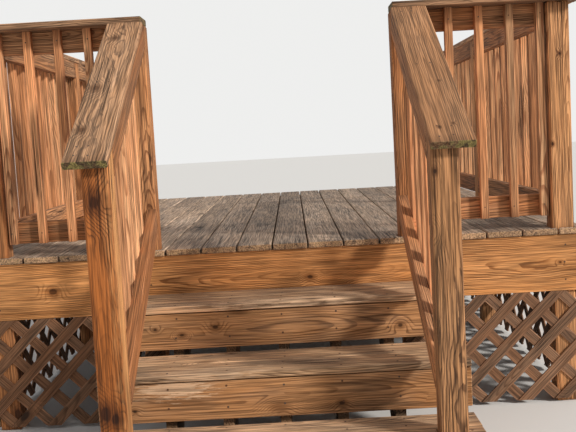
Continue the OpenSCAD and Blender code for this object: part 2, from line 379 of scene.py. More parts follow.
@dataclass(frozen=True)
class WoodFinish(Finish):
    """Weathered softwood, drawn as growth rings round a pith that wanders beside each board.

    The four colours are the early wood in two kinds, the late wood and the weathered surface. The ring, the
    pith_depth and the wave are in metres, and the other numbers are strengths.
    """

    slot: str
    pale: Colour
    alt_pale: Colour
    dark: Colour
    grey: Colour
    greyness: float = 0.35
    ring: float = 0.010
    ring_depth: float = 0.8
    pith_depth: float = 0.05
    wave: float = 0.0
    stain: float = 0.55
    bleach: float = 0.35
    fuzz: float = 0.34
    # Strength of the lighter long edges, partly wear and partly a painted highlight
    edge: float = 0.45
    knots: float = 0.25
    knot_depth: float = 0.30
    cracks: float = 0.5
    lichen: float = 0.0
    end_dirt: float = 0.35
    # Colour and fray of the marked patch: wear on the steps, a painted highlight on the dark post
    worn: Colour = (0.60, 0.40, 0.25)
    wear_and_highlight_fray: float = 4.0
    tone_spread: float = 0.22
    roughness: float = 0.82
    specular: float = 0.28

    def _draw(self, material: bpy.types.Material) -> None:
        """Lays out the new material's nodes.

        Args:
            material: The material.
        """
        material.diffuse_color = (*self.pale, 1.0)
        s = BoardSketch(material)
        swirl, core, halo = self._knots(s)
        late = self._rings(s, swirl)
        fibre = s.noise(FIBRE)
        patch = s.noise(PATCH)
        crack = self._cracks(s)
        colour = self._weather(s, self._wood(s, late))
        colour = s.mix(halo * 0.75, colour, self.dark)
        colour = s.mix(core * 0.9, colour, self._deep(self.knot_depth))
        colour = s.mix(crack * 0.92, colour, self._deep(0.16))
        colour = self._ends(s, colour, patch)
        tone = (s.luck[0] - 0.5) * (2.0 * self.tone_spread) + 1.0
        tone = tone * s.fade(fibre, 0.34, 0.66, 1.0 - self.fuzz, 1.0 + self.fuzz)
        tone = tone * s.fade(patch, 0.3, 0.7, 0.78, 1.18)
        height = late * -0.6 + fibre * 1.1 - crack * 3.0 - core
        bump = s.wire("ShaderNodeBump", {"Strength": 0.7, "Distance": 0.0015, "Height": height})
        s.surface({"Base Color": s.scaled(colour, tone), "Normal": bump, "Roughness": self.roughness,
                   "Specular IOR Level": self.specular})

    def _deep(self, share: float) -> Colour:
        """Returns a share of the finish's dark colour."""
        return (share * self.dark[0], share * self.dark[1], share * self.dark[2])

    def _knots(self, s: BoardSketch) -> tuple[Wire, Wire, Wire]:
        """Draws scattered knots and the ones that a board has marked.

        Args:
            s: The sketch.

        Returns:
            How far the rings are pushed aside, in metres, the knots' cores and their halos.
        """
        cells = s.node("ShaderNodeTexVoronoi", {"Vector": s.at(KNOT_CELLS), "Scale": 1.0}, feature="F1")
        draw, width, _ = s.split(Wire(s, cells.outputs["Color"]))
        chosen = s.math("GREATER_THAN", draw, 1.0 - self.knots)
        near = Wire(s, cells.outputs["Distance"]) / (width * 0.9 + 0.5)
        swirl = chosen * s.fade(near, 0.05, 0.42, 0.03, 0.0)
        core = chosen * s.fade(near, 0.06, 0.11, 1.0, 0.0)
        halo = chosen * s.fade(near, 0.09, 0.24, 1.0, 0.0)
        ragged = s.swing(KNOT_EDGE, 1.2)
        for k, size in enumerate(s.split(s.attribute("knot_size"))):
            way = s.vector("SUBTRACT", s.grain, s.attribute(f"knot_{k}"))
            gap = s.length(s.vector("MULTIPLY", way, (0.7, 1.0, 1.0))) / s.math("MAXIMUM", size, 0.0001)
            uneven = gap + ragged
            swirl = s.math("MAXIMUM", swirl, s.fade(gap, 0.3, 4.4, 1.7, 0.0) * size)
            core = s.math("MAXIMUM", core, s.fade(uneven, 0.5, 1.0, 1.0, 0.0))
            halo = s.math("MAXIMUM", halo, s.fade(uneven, 0.9, 2.4, 0.9, 0.0))
        return swirl, core, halo

    def _rings(self, s: BoardSketch, swirl: Wire) -> Wire:
        """Draws the growth rings.

        Args:
            s: The sketch.
            swirl: How far knots push the rings aside, in metres.

        Returns:
            The dark late wood, from 0 to 1.
        """
        across = s.places[1] - (s.luck[0] - 0.5) * 0.12 + s.swing(SWAY, 0.16)
        below = s.places[2] + (s.luck[1] * self.pith_depth + 0.012) + s.swing(DIP, 0.22)
        reach = s.math("SQRT", across * across + below * below)
        reach = reach + s.noise(WAVER) * 0.013 + s.noise(RIPPLE) * self.wave + swirl
        phase = s.math("FRACT", reach / self.ring)
        late = s.fade(phase, 0.45, 0.88) * s.fade(phase, 0.92, 1.0, 1.0, 0.0)
        return (late * s.fade(s.noise(FAINTNESS), 0.36, 0.64, 0.25, 1.35)).clamped()

    def _cracks(self, s: BoardSketch) -> Wire:
        """Draws drying cracks along the grain, from 0 to 1.

        Args:
            s: The sketch.

        Returns:
            The cracks.
        """
        line = s.fade(abs(s.noise(CRACK_LINE) - 0.5), 0.004, 0.028, 1.0, 0.0)
        return line * s.fade(s.noise(CRACK_PLACE), 0.64 - 0.18 * self.cracks, 0.70 - 0.14 * self.cracks)

    def _wood(self, s: BoardSketch, late: Wire) -> Wire:
        """Colours the wood below its weathering, with lighter long edges that are partly wear and partly a
        painted highlight on the eased arrises.

        Args:
            s: The sketch.
            late: The dark late wood.

        Returns:
            The colour.
        """
        blotch = s.fade(s.noise(BLOTCH), 0.38, 0.64, -0.35, 0.35)
        colour = s.mix((s.luck[2] + blotch).clamped(), self.pale, self.alt_pale)
        colour = s.mix((late * self.ring_depth).clamped(), colour, self.dark)
        streak = s.noise(STREAK)
        colour = s.mix(s.fade(streak, 0.50, 0.68, 0.0, self.stain), colour, self.dark)
        light = tuple(min(1.0, 1.35 * part + 0.02) for part in self.pale)
        colour = s.mix(s.fade(streak, 0.30, 0.45, self.bleach, 0.0), colour, light)
        # Lighter long edges: partly rubbed wear, partly a painted highlight where the eased arris catches
        # light
        rubbed_and_lit_edges = s.fade(s.noise(RUB_AND_HIGHLIGHT), 0.30, 0.55) * s.fade(s.edge_gap, 0.002, 0.0065, self.edge, 0.0)
        return s.mix(rubbed_and_lit_edges, colour, light)

    def _weather(self, s: BoardSketch, colour: Wire) -> Wire:
        """Turns patches and the upward faces grey, and lightens the marked patch: wear on the steps, a
        painted highlight on the left foot post's sunlit side.

        Args:
            s: The sketch.
            colour: The wood's colour.

        Returns:
            The weathered colour.
        """
        normal = s.wire("ShaderNodeNewGeometry", {}, "Normal")
        upward = s.fade(s.split(normal)[2], 0.2, 0.8)
        greyed = s.fade(s.noise(GREYING), 0.42, 0.62, 0.0, 0.8) + upward * 0.25
        colour = s.mix((greyed * self.greyness).clamped(), colour, self.grey)
        # Marked patch: wear on the steps, and on the left foot post a painted highlight on its sunlit right
        # side
        way = s.vector("SUBTRACT", s.grain, s.attribute("worn_place"))
        gap = s.length(s.vector("DIVIDE", way, s.attribute("worn_size")))
        return s.mix(s.fade(gap + s.swing(FRAY, self.wear_and_highlight_fray), 0.45, 1.0, 0.85, 0.0), colour, self.worn)

    def _ends(self, s: BoardSketch, colour: Wire, patch: Wire) -> Wire:
        """Darkens the last centimetres of a board, and draws dirt and lichen on its cut ends.

        Args:
            s: The sketch.
            colour: The weathered colour.
            patch: A noise with large patches.

        Returns:
            The colour with its ends.
        """
        colour = s.mix(s.fade(s.end_gap, 0.0, 0.05, self.end_dirt, 0.0), colour, self._deep(0.8))
        cut = s.fade(s.end_gap, 0.0008, 0.0022, 1.0, 0.0)
        grit = s.noise(GRIT)
        dirt = 0.3 * self.end_dirt
        sawn = s.mix(s.fade(grit, 0.24 + dirt, 0.46 + dirt), self.dark, SAWN)
        colour = s.mix(cut * 0.8, colour, sawn)
        if not self.lichen:
            return colour
        moss = s.mix(s.fade(grit, 0.42, 0.58), MOSS_DARK, MOSS_PALE)
        coat = s.fade(patch + grit * 0.35, 0.60, 0.74) * s.fade(s.end_gap, 0.0, 0.005, self.lichen, 0.0)
        colour = s.mix(coat, colour, moss)
        return s.mix(cut * s.fade(grit, 0.36, 0.56, 0.3 * self.lichen, self.lichen), colour, moss)


RIM = WoodFinish(
    "oiled_rim", "rim", pale=(0.64, 0.29, 0.102), alt_pale=(0.56, 0.240, 0.076), dark=(0.22, 0.072, 0.016),
    grey=(0.32, 0.19, 0.09), greyness=0.25, ring=0.0060, ring_depth=0.9, wave=0.008, stain=0.45, bleach=0.4,
    fuzz=0.36, knots=0.30, cracks=0.2)
RISER = WoodFinish(
    "oiled_riser", "risers", pale=(0.46, 0.232, 0.098), alt_pale=(0.41, 0.192, 0.074),
    dark=(0.15, 0.061, 0.020), grey=(0.31, 0.20, 0.125), ring=0.0060, ring_depth=0.9, stain=0.5, bleach=0.4,
    knots=0.2, cracks=0.2)
TREAD = WoodFinish(
    "worn_tread", "treads", pale=(0.52, 0.315, 0.172), alt_pale=(0.43, 0.243, 0.128),
    dark=(0.095, 0.047, 0.021), grey=(0.36, 0.25, 0.165), greyness=0.5, ring=0.008, ring_depth=0.85,
    stain=0.85, bleach=0.6, fuzz=0.5, knots=0.2, cracks=0.45)
DECKING = WoodFinish(
    "grey_decking", "decking", pale=(0.46, 0.330, 0.230), alt_pale=(0.39, 0.277, 0.195),
    dark=(0.085, 0.054, 0.034), grey=(0.34, 0.265, 0.205), greyness=0.55, ring=0.008, stain=0.8,
    bleach=0.55, fuzz=0.45, knots=0.2, cracks=0.3, lichen=0.15, end_dirt=0.05)
CAP = WoodFinish(
    "weathered_cap", "caps", pale=(0.42, 0.232, 0.125), alt_pale=(0.36, 0.180, 0.083),
    dark=(0.10, 0.046, 0.021), grey=(0.29, 0.185, 0.115), greyness=0.4, ring=0.0085, ring_depth=0.95,
    pith_depth=0.03, wave=0.022, stain=0.75, bleach=0.7, fuzz=0.48, knots=0.2, knot_depth=0.9, cracks=0.25,
    lichen=0.85)
SOUND_CAP = replace(
    CAP, name="sound_cap", pale=(0.410, 0.198, 0.090), alt_pale=(0.380, 0.178, 0.075),
    dark=(0.120, 0.052, 0.022), greyness=0.24, ring=0.0062, ring_depth=0.85, wave=0.014, stain=0.5,
    bleach=0.45, fuzz=0.38, cracks=0.08)
POST = WoodFinish(
    "oiled_post", "posts", pale=(0.44, 0.172, 0.060), alt_pale=(0.51, 0.25, 0.106),
    dark=(0.12, 0.037, 0.010), grey=(0.36, 0.21, 0.12), greyness=0.2, ring=0.0055, ring_depth=0.85,
    wave=0.012, stain=0.65, fuzz=0.42, cracks=0.4, tone_spread=0.12)
# The left foot post: its patch colour is a painted highlight on its sunlit right face and arris
DARK_POST = replace(
    POST, name="dark_post", pale=(0.335, 0.103, 0.022), dark=(0.060, 0.016, 0.004), greyness=0.05,
    ring_depth=0.75, bleach=0.15, knot_depth=0.6, worn=(0.55, 0.27, 0.105), wear_and_highlight_fray=0.7)
SPLIT_POST = replace(
    POST, name="split_post", pale=(0.38, 0.175, 0.072), alt_pale=(0.42, 0.205, 0.086),
    dark=(0.070, 0.027, 0.010), stain=0.95, bleach=0.6, fuzz=0.48, cracks=0.9)
BALUSTER = WoodFinish(
    "oiled_baluster", "guards", pale=(0.60, 0.260, 0.110), alt_pale=(0.56, 0.31, 0.155),
    dark=(0.20, 0.060, 0.020), grey=(0.34, 0.21, 0.13), greyness=0.15, ring=0.0055, ring_depth=0.75,
    stain=0.5, fuzz=0.4, knots=0.1, cracks=0.3, tone_spread=0.25)
# Brighter copy of the baluster finish for the stair guards: sunlight painted into their colour
PAINTED_SUNLIT_BALUSTER = replace(
    BALUSTER, name="bright_baluster", pale=(0.76, 0.33, 0.145), alt_pale=(0.70, 0.38, 0.19),
    dark=(0.27, 0.085, 0.028))
RAIL = WoodFinish(
    "oiled_rail", "guards", pale=(0.42, 0.168, 0.062), alt_pale=(0.38, 0.19, 0.085),
    dark=(0.13, 0.046, 0.015), grey=(0.28, 0.175, 0.11), greyness=0.3, ring=0.0065, fuzz=0.4, knots=0.2,
    cracks=0.3)
FRAMING = WoodFinish(
    "rough_framing", "framing", pale=(0.27, 0.15, 0.075), alt_pale=(0.24, 0.14, 0.075),
    dark=(0.085, 0.044, 0.020), grey=(0.20, 0.145, 0.10), greyness=0.5, ring=0.008, knots=0.3, cracks=0.3)
SLAT = WoodFinish(
    "dark_lattice", "lattice", pale=(0.25, 0.115, 0.055), alt_pale=(0.19, 0.10, 0.054),
    dark=(0.080, 0.035, 0.016), grey=(0.15, 0.10, 0.068), ring=0.006, knots=0.05, cracks=0.2)


@dataclass(frozen=True)
class Character:
    """What the boards of one piece show that others don't.

    A knot is a place on a board's face and the radius of its core. The luck is the share of lightness, of the
    pith's distance and of the second pale colour. A scuff is a place, with its reach along and across the
    grain. Most of these patches are wear; the left foot post's is a painted highlight along its sunlit side.
    """

    knots: tuple[Mark, ...] = ()
    luck: Triple | None = None
    scuffs_and_highlights: tuple[Mark, ...] = ()


CHARACTERS = {
    "front_rim_plank": Character(
        ((-0.945, -1.148, 0.580, 0.013), (0.118, -1.148, 0.583, 0.011), (1.147, -1.148, 0.588, 0.005)),
        (0.55, 0.30, 0.35)),
    "riser_2_board": Character(
        ((0.445, -1.444, 0.430, 0.010), (-0.256, -1.444, 0.461, 0.010), (-0.484, -1.444, 0.462, 0.006)),
        (0.50, 0.40, 0.30)),
    "riser_3_board": Character(
        ((0.197, -1.740, 0.234, 0.009), (-0.524, -1.740, 0.242, 0.006)), (0.45, 0.60, 0.45),
        ((-0.375, -1.740, 0.318, 0.150, 0.045),)),
    "tread_1_boards": Character(scuffs_and_highlights=((0.020, -1.430, 0.5475, 0.320, 0.060),)),
    "tread_2_boards": Character(
        ((-0.342, -1.642, 0.391, 0.008),), scuffs_and_highlights=((-0.300, -1.730, 0.365, 0.240, 0.070),)),
    "tread_3_boards": Character(scuffs_and_highlights=((-0.050, -2.010, 0.1825, 0.350, 0.060),)),
    # This post's long patch is a painted highlight along its sunlit right face and arris
    "left_foot_post_timber": Character(
        ((-0.548, -2.000, 0.998, 0.020), (-0.563, -2.000, 0.323, 0.020), (-0.535, -2.000, 0.300, 0.015)),
        (0.40, 0.70, -0.20), ((-0.5045, -1.955, 0.500, 3.0, 0.054),)),
    "right_foot_post_timber": Character(((0.508, -2.000, 1.033, 0.007),), (0.35, 0.45, 0.75)),
    "right_corner_post_timber": Character(
        ((1.171, -1.136, 1.435, 0.005), (1.133, -1.136, 1.073, 0.006)), (0.90, 0.50, 0.95)),
    "left_stair_cap_board": Character(
        ((-0.595, -1.640, 1.369, 0.014), (-0.602, -1.878, 1.223, 0.012), (-0.582, -1.303, 1.577, 0.012)),
        (0.60, 0.25, 0.40)),
    "right_stair_cap_board": Character(
        ((0.581, -1.712, 1.325, 0.004), (0.532, -1.966, 1.168, 0.005), (0.579, -1.950, 1.178, 0.004)),
        (0.45, 0.15, 0.60)),
}


def round_off(part: bmesh.types.BMesh, edges: list[bmesh.types.BMEdge], radius: float, segments: int) -> None:
    """Rounds edges off.

    Args:
        part: The mesh.
        edges: Its edges to round.
        radius: How far the rounding reaches from an edge.
        segments: Number of strips in it.
    """
    bmesh.ops.bevel(part, geom=edges, offset=radius, offset_type="OFFSET", segments=segments, profile=0.5,
                    affect="EDGES", material=-1)


class Piece:
    """One visible piece of the part."""

    def __init__(self, name: str, slot: str, finishes: tuple[Finish, ...]) -> None:
        """Starts a piece.

        Args:
            name: Name of the finished object.
            slot: Its material slot.
            finishes: Its finishes.
        """
        self.name = name
        self.slot = slot
        self.finishes = finishes
        self.chance = random.Random(name)
        self.mesh = bmesh.new()

    def finish_piece(self, *nodes: str) -> None:
        """Turns the mesh into an object that stands for frame nodes.

        Args:
            *nodes: The frame nodes that it replaces.
        """
        mesh = bpy.data.meshes.new(self.name)
        self.mesh.normal_update()
        self.mesh.to_mesh(mesh)
        self.mesh.free()
        for finish in self.finishes:
            mesh.materials.append(finish.material())
        made = bpy.data.objects.new(self.name, mesh)
        bpy.context.scene.collection.objects.link(made)
        if nodes:
            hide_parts(*nodes)
        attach(made, "root")
        LOG.info("%s: %d faces", self.name, len(mesh.polygons))


class Timber(Piece):
    """Boards that together make one piece, each with its own grain."""

    layer_names = ("grain", "chance", "half", "knot_size", "knot_0", "knot_1", "knot_2", "worn_place",
                   "worn_size")
    # A place beyond every board
    far = Vector((9.0, 9.0, 9.0))
    # How far off a board a mark may lie and still belong to it
    mark_reach = 0.01
    # Radius of a sawn end's edges, and spread of the luck among boards that share a character
    end_ease = 0.0012
    luck_spread = 0.05

    def __init__(self, name: str, finish: WoodFinish, *more: WoodFinish) -> None:
        """Starts a piece.

        Args:
            name: Name of the finished object.
            finish: Finish of its boards.
            *more: Further finishes that single boards may have.
        """
        super().__init__(name, finish.slot, (finish, *more))
        self.character = CHARACTERS.get(name, Character())
        layers = self.mesh.verts.layers.float_vector
        self.layers = [layers.new(key) for key in self.layer_names]

    def board(self, low: Vector, high: Vector, run: Run, ease: float = 0.003,
              finish: WoodFinish | None = None) -> None:
        """Adds a square-set board.

        Args:
            low: Lowest corner.
            high: Highest corner.
            run: Direction of the grain.
            ease: Radius of the long edges.
            finish: Finish, if not the piece's first one.
        """
        size = high - low
        wide, thin = sorted((k for k in range(3) if k != run.value), key=lambda k: -size[k])
        axes = Matrix.Identity(3)
        lengths = Vector((size[run.value], size[wide], size[thin]))
        self.turned(lengths, (low + high) / 2, axes[run.value], axes[wide], ease, finish)

    def turned(self, size: Vector, middle: Vector, long: Vector, wide: Vector, ease: float = 0.003,
               finish: WoodFinish | None = None, cuts: tuple[tuple[Vector, Vector], ...] = ()) -> None:
        """Adds a board that lies in any direction.

        Args:
            size: Length, width and thickness.
            middle: Place of its middle.
            long: Direction of its length.
            wide: Direction of its width.
            ease: Radius of the long edges.
            finish: Finish, if not the piece's first one.
            cuts: Points and outward normals of saw cuts.
        """
        part = bmesh.new()
        bmesh.ops.create_cube(part, size=1.0)
        bmesh.ops.scale(part, vec=size, verts=part.verts)
        sides = [e for e in part.edges if abs((e.verts[0].co - e.verts[1].co).x) > 0.5 * size.x]
        round_off(part, sides, ease, 3)
        ends = [e for e in part.edges if any(abs(f.normal.x) > 0.9 for f in e.link_faces)]
        round_off(part, ends, min(self.end_ease, ease / 2), 1)
        place = Matrix((long, wide, long.cross(wide))).transposed().to_4x4()
        place.translation = middle
        inverse = place.inverted()
        for point, normal in cuts:
            cut = bmesh.ops.bisect_plane(part, geom=part.verts[:] + part.edges[:] + part.faces[:],
                                         plane_co=inverse @ point, plane_no=inverse.to_3x3() @ normal,
                                         clear_outer=True)
            rim = [g for g in cut["geom_cut"] if isinstance(g, bmesh.types.BMEdge)]
            bmesh.ops.holes_fill(part, edges=rim, sides=0)
        self._take(part, place, size / 2, finish)

    def plate(self, loops: list[Loop], thickness: float, place: Matrix, ease: float = 0.002,
              finish: WoodFinish | None = None) -> None:
        """Adds a board of any outline, drawn with its grain along the first axis.

        Args:
            loops: The outline, and after it the outlines of holes.
            thickness: Thickness of the board, half to each side of the drawing.
            place: Where the drawing's plane goes.
            ease: Radius of all its edges.
            finish: Finish, if not the piece's first one.
        """
        part = bmesh.new()
        edges = []
        for loop in loops:
            verts = [part.verts.new((x, y, -thickness / 2)) for x, y in loop]
            edges += [part.edges.new(pair) for pair in zip(verts, verts[1:] + verts[:1])]
        if len(loops) == 1:
            part.faces.new(verts)
        else:
            bmesh.ops.triangle_fill(part, use_beauty=True, edges=edges)
        grown = bmesh.ops.extrude_face_region(part, geom=part.faces[:])["geom"]
        lifted = [g for g in grown if isinstance(g, bmesh.types.BMVert)]
        bmesh.ops.translate(part, vec=(0.0, 0.0, thickness), verts=lifted)
        bmesh.ops.recalc_face_normals(part, faces=part.faces[:])
        arrises = [e for e in part.edges if len(e.link_faces) == 2 and e.calc_face_angle_signed() > 0.9]
        round_off(part, arrises, ease, 2)
        xs, ys = zip(*loops[0])
        centre = Vector(((min(xs) + max(xs)) / 2, (min(ys) + max(ys)) / 2, 0.0))
        bmesh.ops.translate(part, vec=-centre, verts=part.verts)
        half = Vector((max(xs) - min(xs), max(ys) - min(ys), thickness)) / 2
        self._take(part, place @ Matrix.Translation(centre), half, finish)

    def upright(self, points: Loop, x0: float, x1: float, angle: float, ease: float = 0.002,
                finish: WoodFinish | None = None) -> None:
        """Adds a plate that stands on edge and runs front to back.

        Args:
            points: Outline as depths and heights.
            x0: One face of the plate.
            x1: Its other face.
            angle: Slope of the grain, in radians.
            ease: Radius of all its edges.
            finish: Finish, if not the piece's first one.
        """
        c, s = math.cos(angle), math.sin(angle)
        drawn = [(y * c + z * s, -y * s + z * c) for y, z in points]
        place = Matrix(((0.0, 0.0, 1.0), (c, -s, 0.0), (s, c, 0.0))).to_4x4()
        place.translation.x = (x0 + x1) / 2
        self.plate([drawn], abs(x1 - x0), place, ease, finish)

    def _take(self, part: bmesh.types.BMesh, place: Matrix, half: Vector, finish: WoodFinish | None) -> None:
        """Moves a finished board into the piece, with its grain and its luck of the draw.

        Args:
            part: The board, centred on its own axes. It is freed.
            place: Where the board goes.
            half: Half of its length, width and thickness.
            finish: Its finish, or None for the first one.
        """
        index = self.finishes.index(finish) if finish else 0
        luck = Vector((self.chance.random(), self.chance.random(), self.chance.random()))
        if self.character.luck:
            luck = Vector(self.character.luck) + self.luck_spread * luck
        flip = Matrix.Diagonal((1.0, 1.0, self.chance.choice((-1.0, 1.0))))
        shared = tuple(zip(self.layers[1:], (luck, half, *self._marks(place, half, flip))))
        part.verts.index_update()
        moved = []
        for vert in part.verts:
            new = self.mesh.verts.new(place @ vert.co)
            new[self.layers[0]] = flip @ vert.co
            for layer, value in shared:
                new[layer] = value
            moved.append(new)
        for face in part.faces:
            taken = self.mesh.faces.new([moved[v.index] for v in face.verts])
            taken.material_index = index
        part.free()

    def _marks(self, place: Matrix, half: Vector, flip: Matrix) -> list[Vector]:
        """Finds the knots and the marked patch (wear, or on the left foot post a painted highlight) that lie
        on a board.

        Args:
            place: Where the board goes.
            half: Half of its length, width and thickness.
            flip: The turn of its grain.

        Returns:
            The knots' three radii as one vector, their three places, the patch's place and its reach.
        """
        inverse = place.inverted()

        def here(marks: tuple[Mark, ...]) -> list[tuple[Vector, Mark]]:
            """Keeps the marks that reach this board.

            Args:
                marks: Knots or scuffs of the whole piece.

            Returns:
                The place and the sizes of each.
            """
            placed = [(inverse @ Vector(mark[:3]), mark[3:]) for mark in marks]
            return [(flip @ spot, sizes) for spot, sizes in placed
                    if all(abs(a) < b + self.mark_reach for a, b in zip(spot, half))]

        knots = here(self.character.knots)
        knots += [(self.far, (0.0,))] * (3 - len(knots))
        patch, (along, across) = (here(self.character.scuffs_and_highlights) or [(self.far, (1.0, 1.0))])[0]
        return [Vector([radius for _, (radius,) in knots]), *(spot for spot, _ in knots), patch,
                Vector((along, across, across))]


class Nails(Piece):
    """Nail heads of one sub-assembly."""

    # How far a nail may sit off its mark, and the shape of its dished head
    slip = 0.004
    depth = 0.0016
    taper = 0.8
    segments = 10

    def __init__(self, name: str, slot: str, radius: float = 0.0044) -> None:
        """Starts a set of nails.

        Args:
            name: Name of the finished object.
            slot: Material slot of the boards that they hold.
            radius: Radius of a head.
        """
        super().__init__(name, slot, (NailFinish(),))
        self.radius = radius

    def drive(self, x: float, y: float, z: float, normal: Vector) -> None:
        """Sets one nail, a little off its mark.

        Args:
            x: Its place across.
            y: Its place in depth.
            z: Its height.
            normal: Outward normal of the board's face.
        """
        turn = normal.to_track_quat("Z", "Y").to_matrix().to_4x4()
        off = [self.chance.uniform(-self.slip, self.slip) for _ in range(2)]
        place = Matrix.Translation((x, y, z)) @ turn @ Matrix.Translation((*off, 0.0))
        bmesh.ops.create_cone(self.mesh, cap_ends=True, cap_tris=False, segments=self.segments,
                              radius1=self.radius, radius2=self.radius * self.taper, depth=self.depth,
                              matrix=place)


@dataclass
class Slope:
    """The line of the flight, read from the frame."""

    rise: float = field(init=False)
    run: float = field(init=False)

    def __post_init__(self) -> None:
        """Measures the steps."""
        upper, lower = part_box("tread_1"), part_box("tread_2")
        self.rise = upper[1].z - lower[1].z
        self.run = upper[0].y - lower[0].y

    @property
    def angle(self) -> float:
        """Slope of the flight, in radians."""
        return math.atan2(self.rise, self.run)

    def height(self, known: tuple[float, float], y: float) -> float:
        """Returns the height at depth y of a line with the flight's slope through a known point."""
        return known[1] + (y - known[0]) * self.rise / self.run


def joist_fronts() -> list[float]:
    """Returns the depths of the joists' front faces."""
    low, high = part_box("floor_joists")
    return [low.y + k * JOIST_PITCH for k in range(round((high.y - low.y - PLANK_T) / JOIST_PITCH) + 1)]


def guard_layers(low: float, high: float, outward: float) -> tuple[Faces, Faces, float]:
    """Splits the thickness of a guard, with its balusters outside its rails.

    Args:
        low: One face of the guard.
        high: Its other face.
        outward: Positive where the high face is the outer one.

    Returns:
        Both faces of the rails, both faces of the balusters, and the outer face.
    """
    if outward > 0:
        return (low, low + PLANK_T), (low + PLANK_T, high), high
    return (high - PLANK_T, high), (low, high - PLANK_T), low


@dataclass
class Framing:
    """Rims, ledger and joists."""

    ease: float = 0.0035
    nail_inset: float = 0.045

    def build(self) -> None:
        """Makes the planks on edge under the deck boards."""
        for name, run, finish in (("front_rim", Run.ACROSS, RIM), ("left_rim", Run.DEEP, RIM),
                                  ("right_rim", Run.DEEP, RIM), ("ledger_board", Run.ACROSS, FRAMING)):
            plank = Timber(f"{name}_plank", finish)
            plank.board(*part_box(name), run, self.ease)
            plank.finish_piece(name)
        self._joists()
        self._nails()

    def _joists(self) -> None:
        """Makes the joists."""
        low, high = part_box("floor_joists")
        joists = Timber("joists", FRAMING)
        for y in joist_fronts():
            joists.board(Vector((low.x, y, low.z)), Vector((high.x, y + PLANK_T, high.z)), Run.ACROSS)
        joists.finish_piece("floor_joists")

    def _nails(self) -> None:
        """Nails the rims to the posts, first the front rim and then the side rim of each side."""
        low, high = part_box("front_rim")
        nails = Nails("rim_nails", "rim")
        for side in Side:
            for post, out in (("corner_post", FORWARD), ("stair_top_post", FORWARD),
                              ("corner_post", side.out), ("mid_post", side.out), ("rear_post", side.out)):
                x, y, _ = sum(side.box(post), Vector()) / 2
                place = (x, low.y) if out is FORWARD else (side.value * high.x, y)
                for z in (low.z + self.nail_inset, (low.z + high.z) / 2, high.z - self.nail_inset):
                    nails.drive(*place, z, out)
        nails.finish_piece()


@dataclass
class Decking:
    """Deck boards in two rows, notched around the posts."""

    pitch: float = 0.1465
    board_w: float = 0.140
    seam_x: float = -0.030
    least_rip: float = 0.020
    clearance: float = 0.003
    ease: float = 0.005
    uneven_end: float = 0.004
    uneven_top: float = 0.0012
    nail_edge: float = 0.025
    nail_end: float = 0.012

    def build(self) -> None:
        """Lays both rows and nails them."""
        for row in ("front", "rear"):
            self._row(row)

    def _posts(self) -> list[tuple[float, float, float, float]]:
        """Finds the notches round the posts.

        Returns:
            Each notch's rectangle as low x, high x, low y and high y.
        """
        gap = self.clearance
        posts = [side.box(post) for side in Side
                 for post in ("corner_post", "stair_top_post", "mid_post", "rear_post")]
        return [(low.x - gap, high.x + gap, low.y - gap, high.y + gap) for low, high in posts]

    def _outline(self, x0: float, x1: float, y0: float, y1: float) -> list[Loop]:
        """Draws a board with its notches.

        Args:
            x0: Left edge.
            x1: Right edge.
            y0: Front end.
            y1: Rear end.

        Returns:
            The outline, and the outlines of holes where a post stands inside the board.
        """
        left, right, holes = [], [], []
        for a, b, c, d in self._posts():
            if b <= x0 or a >= x1 or d <= y0 or c >= y1:
                continue
            if a <= x0:
                left.append((b, c, d))
            elif b >= x1:
                right.append((a, c, d))
            else:
                holes.append([(a, c), (b, c), (b, d), (a, d)])
        outline = [(x0, y0), (x1, y0)]
        for x, c, d in sorted(right, key=lambda notch: notch[1]):
            outline += [(x1, c), (x, c), (x, d), (x1, d)]
        outline += [(x1, y1), (x0, y1)]
        for x, c, d in sorted(left, key=lambda notch: -notch[1]):
            outline += [(x0, d), (x, d), (x, c), (x0, c)]
        return [outline, *holes]

    def _row(self, row: str) -> None:
        """Lays one row of boards.

        Args:
            row: Name of the row, front or rear.
        """
        low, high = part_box(f"deck_boards_{row}")
        boards = Timber(f"decking_{row}", DECKING)
        nails = Nails(f"decking_{row}_nails", "decking")
        gap = self.pitch - self.board_w
        first = math.floor((low.x - self.seam_x) / self.pitch)
        for k in range(first, math.ceil((high.x - self.seam_x) / self.pitch)):
            x0 = max(low.x, self.seam_x + k * self.pitch + gap / 2)
            x1 = min(high.x, self.seam_x + (k + 1) * self.pitch - gap / 2)
            if x1 - x0 < self.least_rip:
                continue
            shy = boards.chance.uniform(0.0, self.uneven_end)
            sink = boards.chance.uniform(0.0, self.uneven_top)
            start = low.y + (shy if row == "front" else 0.0)
            drawn = [[(y, -x) for x, y in loop] for loop in self._outline(x0, x1, start, high.y)]
            place = Matrix(((0.0, -1.0, 0.0), (1.0, 0.0, 0.0), (0.0, 0.0, 1.0))).to_4x4()
            place.translation.z = (low.z + high.z) / 2 - sink
            boards.plate(drawn, high.z - low.z, place, self.ease)
            for y in self._nail_lines(start, high.y):
                for x in (x0 + self.nail_edge, x1 - self.nail_edge):
                    if not any(a < x < b and c < y < d for a, b, c, d in self._posts()):
                        nails.drive(x, y, high.z - sink, UP)
        boards.finish_piece(f"deck_boards_{row}")
        nails.finish_piece()

    def _nail_lines(self, y0: float, y1: float) -> list[float]:
        """Returns the depths at which a board is nailed to the rim, the joists and the ledger.

        Args:
            y0: Front end of the board.
            y1: Its rear end.

        Returns:
            The depths.
        """
        rim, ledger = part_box("front_rim"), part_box("ledger_board")
        lines = [(rim[0].y + rim[1].y) / 2, *(y + PLANK_T / 2 for y in joist_fronts()),
                 (ledger[0].y + ledger[1].y) / 2]
        end = self.nail_end
        return [min(max(y, y0 + end), y1 - end) for y in lines if y0 - end < y < y1 + end]


